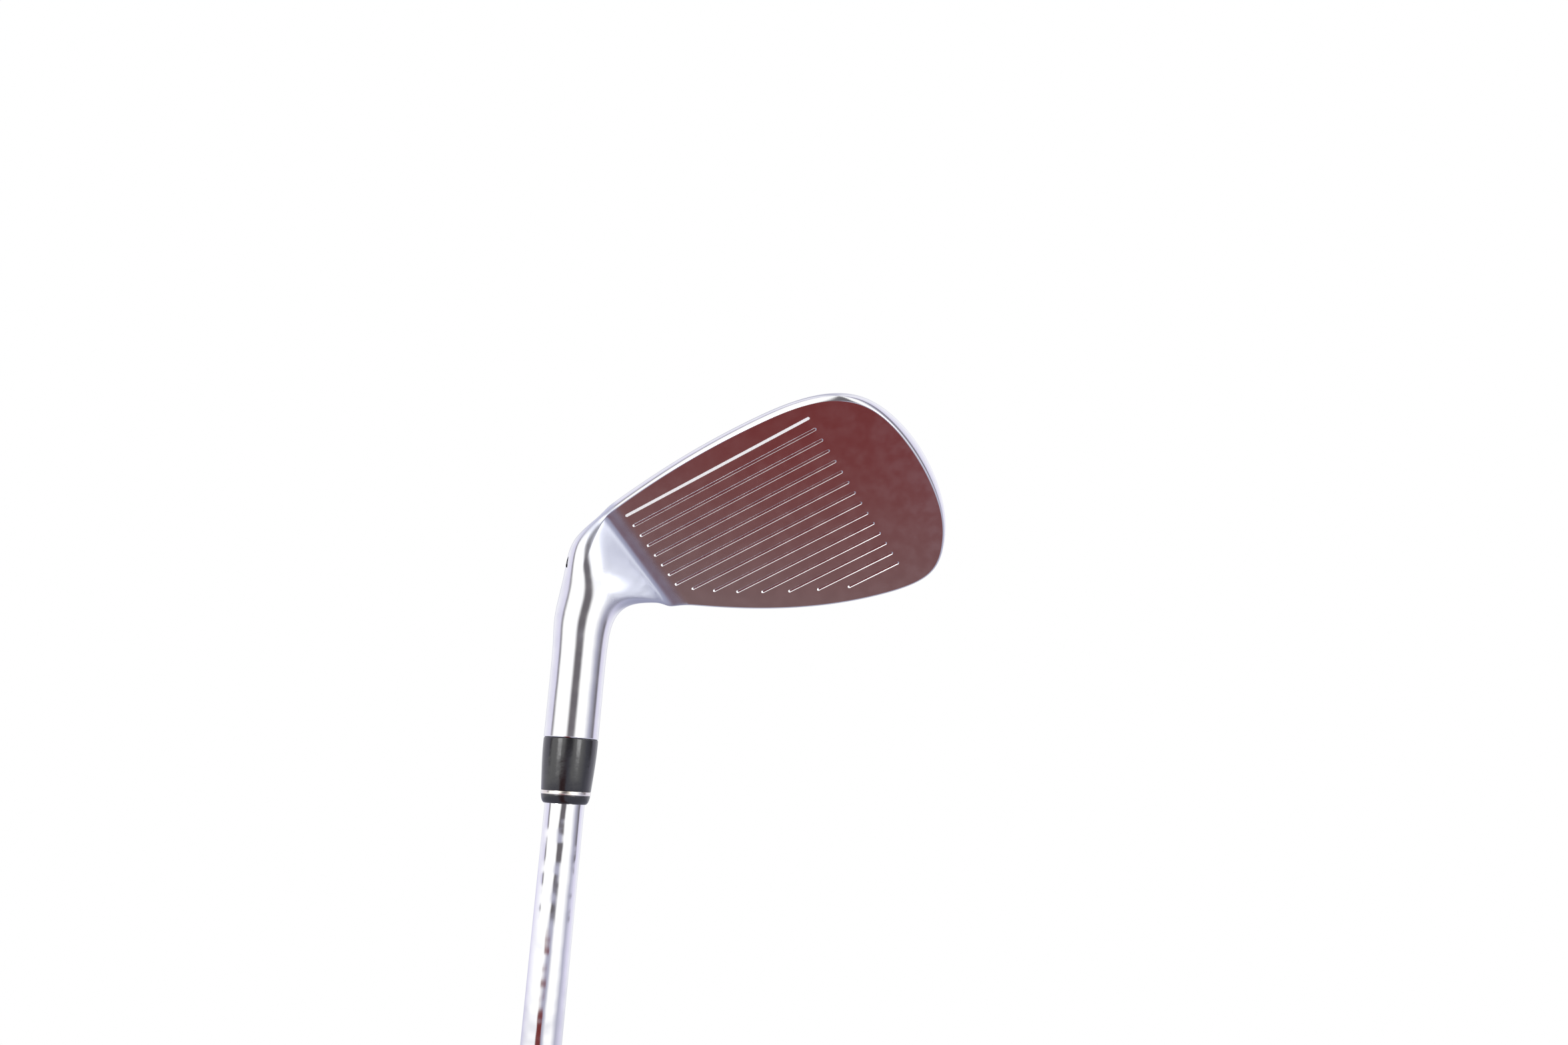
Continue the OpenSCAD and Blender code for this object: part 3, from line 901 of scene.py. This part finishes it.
def head_steel():
    """Satin chrome: brushed body, blasted panel over the scoring lines and a duller, rougher heel. The heel's
    darker lavender colour is a painted reflection, and the smooth toe's warm tint is a painted reflection of
    the red card.
    """
    s = Surface("satin_chrome", (0.84, 0.84, 0.85), 0.2, 1.0)
    t, _, out = s.add("ShaderNodeSeparateXYZ", {"Vector": face_coordinates(s)}).outputs
    on_face = s.ramp(s.math("ABSOLUTE", out), 0.06, 0.03)
    panel = s.math("MULTIPLY", on_face, s.ramp(t, 62, 61.7))
    grain = s.speckle(4.0, 3.0)
    cloud = s.speckle(0.3, 3.0)
    body = s.ramp(cloud, 0.3, 0.7, 0.12, 0.16)
    finish = s.math("ADD", body, s.math("MULTIPLY", panel, s.ramp(grain, 0.35, 0.7, 0.0, 0.12)))
    off_face = s.math("SUBTRACT", 1.0, on_face)
    heel = s.math("MULTIPLY", off_face, s.math("MULTIPLY", s.ramp(t, -7, 0), s.ramp(t, 8, 5)))
    s.put("Roughness", s.math("ADD", finish, s.math("MULTIPLY", heel, 0.2)))
    pale = s.colours(cloud, [(0.3, (0.81, 0.81, 0.83)), (0.7, (0.87, 0.87, 0.87))])
    # painted reflection: the smooth toe's colour leans warm, standing in for the red card that the face
    # mirrors
    smooth_toe_painted_warm = s.colours(grain, [(0.3, (0.78, 0.77, 0.77)), (0.7, (0.86, 0.82, 0.82))])
    blasted = s.colours(grain, [(0.3, (0.76, 0.82, 0.82)), (0.7, (0.95, 0.98, 0.98))])
    face_colour = s.blend(panel, smooth_toe_painted_warm, blasted)
    # painted reflection: the heel's base colour is a darker lavender, standing in for the lavender cards that
    # the heel mirrors
    body_with_painted_heel_reflection = s.blend(heel, pale, (0.62, 0.64, 0.72, 1))
    s.put("Base Color", s.blend(on_face, body_with_painted_heel_reflection, face_colour))
    s.bump(s.math("MULTIPLY", grain, on_face), 0.01)
    return s.material


def white_paint():
    s = Surface("white_enamel", (0.9, 0.89, 0.87), 0.35)
    grain = s.speckle(2.5, 3.0)
    s.put("Base Color", s.colours(grain, [(0.3, (0.86, 0.84, 0.82)), (0.6, (0.95, 0.94, 0.93))]))
    s.bump(grain, 0.03)
    return s.material


def shaft_chrome():
    """Mirror chrome over drawn steel tube, with the tube's faint waviness."""
    s = Surface("shaft_plate", (0.86, 0.86, 0.87), 0.06, 1.0)
    wave = s.speckle(0.09, 2.0)
    s.bump(wave, 0.35)
    fine = s.noise(s.scaled((1000, 1000, 120)), 0.8, 3.0)
    s.put("Roughness", s.ramp(fine, 0.3, 0.75, 0.045, 0.09))
    return s.material


def ferrule_black():
    s = Surface("ferrule_gloss", (0.01, 0.01, 0.011), 0.2)
    s.put("Specular IOR Level", 0.9)
    fine = s.noise(s.scaled((1000, 1000, 300)), 1.5, 4.0)
    s.put("Roughness", s.ramp(fine, 0.35, 0.8, 0.14, 0.24))
    s.bump(s.speckle(0.5, 2.0), 0.04)
    return s.material


def ferrule_silver():
    s = Surface("ferrule_trim", (0.86, 0.84, 0.81), 0.16, 1.0)
    patch = s.speckle(0.3, 2.0)
    s.put("Base Color", s.colours(patch, [(0.35, (0.87, 0.86, 0.85)), (0.65, (0.84, 0.77, 0.68))]))
    s.put("Roughness", s.ramp(patch, 0.3, 0.7, 0.12, 0.22))
    return s.material


def damping_rubber():
    s = Surface("damping_foam", (0.025, 0.025, 0.027), 0.7)
    grain = s.speckle(4.0, 3.0)
    s.put("Base Color", s.colours(grain, [(0.3, (0.018, 0.018, 0.02)), (0.7, (0.04, 0.04, 0.042))]))
    s.bump(grain, 0.08)
    return s.material


def brushed_lines(s):
    """Fine streaks that run along the toe direction of the face."""
    face = face_coordinates(s)
    stretch = s.add("ShaderNodeMapping", {"Vector": face, "Scale": (0.03, 1, 1)}).outputs["Vector"]
    return s.noise(stretch, 5.4, 4.0)


def badge_metal():
    s = Surface("badge_aluminium", (0.72, 0.73, 0.75), 0.3, 1.0)
    streak = brushed_lines(s)
    s.put("Roughness", s.ramp(streak, 0.3, 0.7, 0.24, 0.42))
    s.put("Base Color", s.colours(streak, [(0.3, (0.62, 0.63, 0.65)), (0.7, (0.78, 0.79, 0.81))]))
    s.bump(streak, 0.02)
    return s.material


def inlay_plastic():
    """A dark resin panel with a fine woven look under a clear coat."""
    s = Surface("resin_panel", (0.03, 0.035, 0.045), 0.3, coat=0.8)
    face = face_coordinates(s)
    check = s.add("ShaderNodeTexChecker", {"Vector": face, "Scale": 0.9})
    s.put("Base Color", s.blend(check.outputs["Fac"], (0.018, 0.02, 0.026, 1), (0.055, 0.06, 0.075, 1)))
    return s.material


def epoxy_resin():
    s = Surface("cured_epoxy", (0.55, 0.47, 0.25), 0.35)
    cloud = s.speckle(0.5, 3.0)
    s.put("Base Color", s.colours(cloud, [(0.3, (0.5, 0.42, 0.2)), (0.7, (0.62, 0.54, 0.31))]))
    s.bump(cloud, 0.1)
    return s.material


def weight_brass():
    s = Surface("brass_bar", (0.8, 0.6, 0.28), 0.3, 1.0)
    lathe = s.noise(s.scaled((60, 60, 4000)), 1.0, 2.0)
    s.put("Roughness", s.ramp(lathe, 0.3, 0.7, 0.22, 0.4))
    s.bump(lathe, 0.02)
    return s.material


def tape_paper():
    s = Surface("grip_tape_paper", (0.72, 0.66, 0.5), 0.75)
    weave = s.noise(s.scaled((1000, 1000, 200), (0.5, 0, 0)), 2.0, 4.0)
    s.put("Base Color", s.colours(weave, [(0.3, (0.64, 0.58, 0.43)), (0.7, (0.78, 0.73, 0.58))]))
    s.bump(weave, 0.06)
    return s.material


def band_film():
    """A printed film with plain stripes, without any lettering."""
    s = Surface("band_print", (0.05, 0.055, 0.07), 0.25, coat=0.6)
    z = s.add("ShaderNodeSeparateXYZ", {"Vector": s.here}).outputs["Z"]
    share = s.math("DIVIDE", s.math("SUBTRACT", z, BAND_Z * MM), BAND_LENGTH * MM)
    dark = (0.03, 0.034, 0.045)
    pale = (0.62, 0.63, 0.65)
    red = (0.35, 0.03, 0.035)
    stops = [(0, dark), (0.07, pale), (0.1, dark), (0.16, red), (0.3, dark), (0.7, pale), (0.73, dark),
             (0.78, pale), (0.81, dark), (0.86, pale), (0.89, dark)]
    s.put("Base Color", s.colours(share, stops, "CONSTANT"))
    fine = s.speckle(1.2, 3.0)
    s.put("Roughness", s.ramp(fine, 0.3, 0.7, 0.2, 0.35))
    return s.material


def rubber(name, dark, light, grain_mm):
    """Moulded rubber with a fine pitted grain."""
    s = Surface(name, light, 0.6)
    grain = s.speckle(grain_mm, 4.0, 0.6)
    cloud = s.speckle(0.05, 3.0)
    s.put("Base Color", s.colours(cloud, [(0.3, dark), (0.7, light)]))
    s.put("Roughness", s.ramp(grain, 0.3, 0.7, 0.5, 0.72))
    s.bump(grain, 0.09)
    return s.material


# ---------------------------------------------------------------- stage, light and camera
def bearings():
    """Level directions from the hosel to the camera and to the camera's right."""
    hosel = Vector((0, 0, HOSEL_Z * MM))
    ahead = CAMERA_AT - hosel
    ahead.z = 0
    ahead.normalize()
    return ahead, Vector((-ahead.y, ahead.x, 0))


WHITE = (1, 1, 1)
PALE = (0.8, 0.8, 0.85)
LAVENDER = (0.65, 0.63, 0.78)
SLATE = (0.4, 0.4, 0.5)
DARK = (0.13, 0.12, 0.13)
RED = (0.15, 0.03, 0.03)
DULL_RED = (0.17, 0.12, 0.12)

# ---- the cards and walls round the club, as (bearing from the camera in degrees, colour)
LEVEL_CARDS = [(-180, SLATE), (-150, PALE), (-100, LAVENDER), (-90, DARK), (-80, WHITE), (-25, WHITE),
               (-15, DARK), (8, DARK), (18, WHITE), (50, WHITE), (75, SLATE), (100, DARK),
               (110, LAVENDER), (150, PALE), (180, SLATE)]
LOW_CARDS = [(-180, SLATE), (-150, LAVENDER), (-80, WHITE), (-35, WHITE), (-15, SLATE), (0, SLATE),
             (15, WHITE), (50, WHITE), (80, SLATE), (110, LAVENDER), (150, PALE), (180, SLATE)]

# ---- the red card low in front of the camera's side: how its side edges slant, and where each edge
# fades in, by the parts of the mirrored direction
RED_LEFT_SLANT = 0.39
RED_RIGHT_SLANT = 0.5
RED_LEFT = (-0.7, -0.56)
RED_RIGHT = (0.46, 0.32)
RED_TOP = (-0.09, -0.16)
RED_NEAR = (0.12, 0.25)
MIRROR_STRENGTH = 1.25
BACKDROP_STRENGTH = 1.0


def on_turn(stops):
    return [((degrees + 180) / 360, colour) for degrees, colour in stops]


def studio_world():
    """What the chrome mirrors: pale walls, darker cards and a dark red card low in front."""
    world = bpy.data.worlds.new("studio")
    world.use_nodes = True
    g = Graph(world.node_tree)
    g.tree.nodes.clear()
    way = g.add("ShaderNodeTexCoord").outputs["Generated"]
    dots = []
    for axis in (*bearings(), Vector((0, 0, 1))):
        node = g.add("ShaderNodeVectorMath", {0: way}, operation="DOT_PRODUCT")
        node.inputs[1].default_value = axis
        dots.append(node.outputs["Value"])
    front, side, height = dots
    turn = g.math("DIVIDE", g.math("ARCTAN2", side, front), 2 * math.pi)
    turn = g.math("ADD", turn, 0.5)
    level = g.colours(turn, on_turn(LEVEL_CARDS))
    low = g.colours(turn, on_turn(LOW_CARDS))
    seen = g.blend(g.ramp(height, -0.04, -0.08), level, low)
    seen = g.blend(g.ramp(height, -0.1, -0.3), seen, (*SLATE, 1))
    red = g.colours(front, [(0.3, DULL_RED), (0.45, RED), (1, RED)])
    left = g.math("ADD", side, g.math("MULTIPLY", height, RED_LEFT_SLANT))
    right = g.math("ADD", side, g.math("MULTIPLY", front, RED_RIGHT_SLANT))
    near = g.math("MULTIPLY", g.ramp(left, *RED_LEFT), g.ramp(right, *RED_RIGHT))
    near = g.math("MULTIPLY", near, g.ramp(height, *RED_TOP))
    near = g.math("MULTIPLY", near, g.ramp(front, *RED_NEAR))
    seen = g.blend(near, seen, red)
    mirror = g.add("ShaderNodeBackground", {"Color": seen, "Strength": MIRROR_STRENGTH})
    plain = g.add("ShaderNodeBackground", {"Color": (1, 1, 1, 1), "Strength": BACKDROP_STRENGTH})
    camera = g.add("ShaderNodeLightPath").outputs["Is Camera Ray"]
    mix = g.add("ShaderNodeMixShader", {0: camera, 1: mirror.outputs[0], 2: plain.outputs[0]})
    out = g.add("ShaderNodeOutputWorld")
    g.feed(out.inputs["Surface"], mix.outputs[0])
    bpy.context.scene.world = world


def softbox(name, degrees, height, size, power):
    """A tall soft light at a bearing from the camera's direction, aimed at the head."""
    ahead, right = bearings()
    head = Vector((0.02, 0, HOSEL_Z * MM))
    turn = math.radians(degrees)
    way = ahead * math.cos(turn) + right * math.sin(turn)
    lamp = bpy.data.lights.new(name, "AREA")
    lamp.shape = "RECTANGLE"
    lamp.size, lamp.size_y = size
    lamp.energy = power
    obj = bpy.data.objects.new(name, lamp)
    obj.location = head + way * 1.6 + Vector((0, 0, height))
    obj.rotation_euler = (obj.location - head).to_track_quat("Z", "Y").to_euler()
    obj.visible_camera = False
    bpy.context.scene.collection.objects.link(obj)


def floor_piece():
    """A round pale floor under the grip's end."""
    rings = []
    for r in np.linspace(0.02, 2.2, 12):
        rings.append([[r * math.cos(a), r * math.sin(a)] for a in np.arange(96) * math.pi / 48])
    points = [[x / MM, y / MM, -0.3] for ring in rings for x, y in ring]
    faces = lofted(rings, close_ends=False) + [list(range(96))]
    floor = make_mesh("studio_floor", points, faces)
    s = Surface("floor_paint", (0.8, 0.8, 0.79), 0.7)
    grain = s.noise(s.scaled((1, 1, 1)), 60.0, 3.0)
    s.put("Base Color", s.colours(grain, [(0.3, (0.79, 0.79, 0.785)), (0.7, (0.82, 0.82, 0.815))]))
    floor.data.materials.append(s.material)
    floor.visible_glossy = False


def camera_rig():
    camera = bpy.data.cameras.new("camera")
    camera.lens = CAMERA_LENS
    camera.sensor_width = 36
    camera.sensor_fit = "HORIZONTAL"
    camera.clip_start = 0.01
    camera.clip_end = 50
    obj = bpy.data.objects.new("camera", camera)
    aim = (CAMERA_AT - CAMERA_AIM).to_track_quat("Z", "Y").to_matrix()
    roll = Matrix.Rotation(math.radians(CAMERA_ROLL), 3, "Z")
    obj.matrix_world = Matrix.Translation(CAMERA_AT) @ (aim @ roll).to_4x4()
    bpy.context.scene.collection.objects.link(obj)
    bpy.context.scene.camera = obj


def build():
    head_piece(head_steel())
    paint_piece(white_paint())
    badge_pieces(damping_rubber(), badge_metal(), inlay_plastic())
    ferrule_pieces(ferrule_black(), ferrule_silver())
    shaft_piece(shaft_chrome())
    band_piece(band_film())
    hidden_pieces(epoxy_resin(), weight_brass(), tape_paper())
    grip_piece(rubber("grip_compound", (0.014, 0.014, 0.015), (0.022, 0.022, 0.023), 3.0))
    cap_piece(rubber("cap_compound", (0.018, 0.018, 0.019), (0.028, 0.028, 0.03), 2.0))


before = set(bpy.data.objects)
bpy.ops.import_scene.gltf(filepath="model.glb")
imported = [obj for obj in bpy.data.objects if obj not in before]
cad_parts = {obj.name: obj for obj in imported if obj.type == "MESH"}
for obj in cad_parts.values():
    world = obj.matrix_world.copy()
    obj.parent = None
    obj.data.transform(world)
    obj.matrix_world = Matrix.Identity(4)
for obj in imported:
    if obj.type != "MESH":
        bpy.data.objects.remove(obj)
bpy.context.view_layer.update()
build()
floor_piece()
studio_world()
softbox("softbox_left", -46, 0.45, (0.5, 1.2), 6)
softbox("softbox_right", 36, 0.45, (0.5, 1.2), 6)
camera_rig()
bpy.context.scene.view_settings.view_transform = "Standard"
